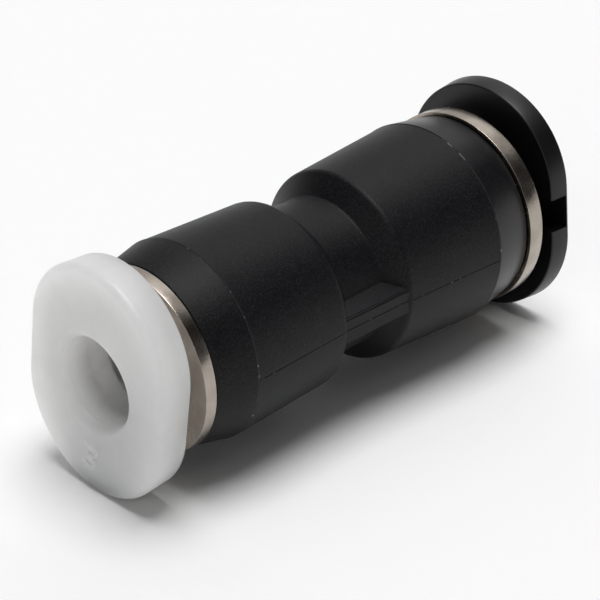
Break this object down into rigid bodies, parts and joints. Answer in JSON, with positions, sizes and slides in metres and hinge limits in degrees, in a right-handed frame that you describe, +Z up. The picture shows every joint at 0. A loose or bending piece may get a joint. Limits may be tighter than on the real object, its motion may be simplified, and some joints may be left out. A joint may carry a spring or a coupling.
{
  "type": "push-in reducer fitting",
  "caption": "Straight push-in union that joins a thin plastic air or water tube to a thinner one, with waisted black body, metal guide rings and oval release buttons.",
  "frame": {"origin": "on the fitting's axis, half way between the two release rings' outer faces", "axes": "+X along the axis towards the larger tube, +Z up as it lies, Y level"},
  "size_m": [0.0216, 0.0084, 0.0096],
  "materials": {
    "body_black": "fine matt moulded",
    "ring_nickel": "nickel plated",
    "claw_steel": "stamped spring steel",
    "sleeve_rubber": "moulded rubber",
    "button_white": "milky satin",
    "button_black": "satin moulded"
  },
  "bodies": {
    "fitting": {"body": "body_black", "guide_ring_3mm": "ring_nickel", "guide_ring_4mm": "ring_nickel", "elastic_sleeve_3mm": "sleeve_rubber", "elastic_sleeve_4mm": "sleeve_rubber"},
    "claws_3mm": {"lock_claws_3mm": "claw_steel"},
    "claws_4mm": {"lock_claws_4mm": "claw_steel"},
    "release_3mm": {"release_ring_3mm": "button_white"},
    "release_4mm": {"release_ring_4mm": "button_black"}
  },
  "joints": [
    {"name": "turn_3mm", "type": "hinge", "parent": "fitting", "child": "claws_3mm", "pos_m": [0, 0, 0], "axis": [1, 0, 0], "continuous": true},
    {"name": "push_3mm", "type": "slide", "parent": "claws_3mm", "child": "release_3mm", "axis": [1, 0, 0], "range_m": [0, 0.0007], "stiffness_N_per_m": 150, "deforming": ["lock_claws_3mm"]},
    {"name": "turn_4mm", "type": "hinge", "parent": "fitting", "child": "claws_4mm", "pos_m": [0, 0, 0], "axis": [1, 0, 0], "continuous": true},
    {"name": "push_4mm", "type": "slide", "parent": "claws_4mm", "child": "release_4mm", "axis": [-1, 0, 0], "range_m": [0, 0.0007], "stiffness_N_per_m": 150, "deforming": ["lock_claws_4mm"]}
  ]
}
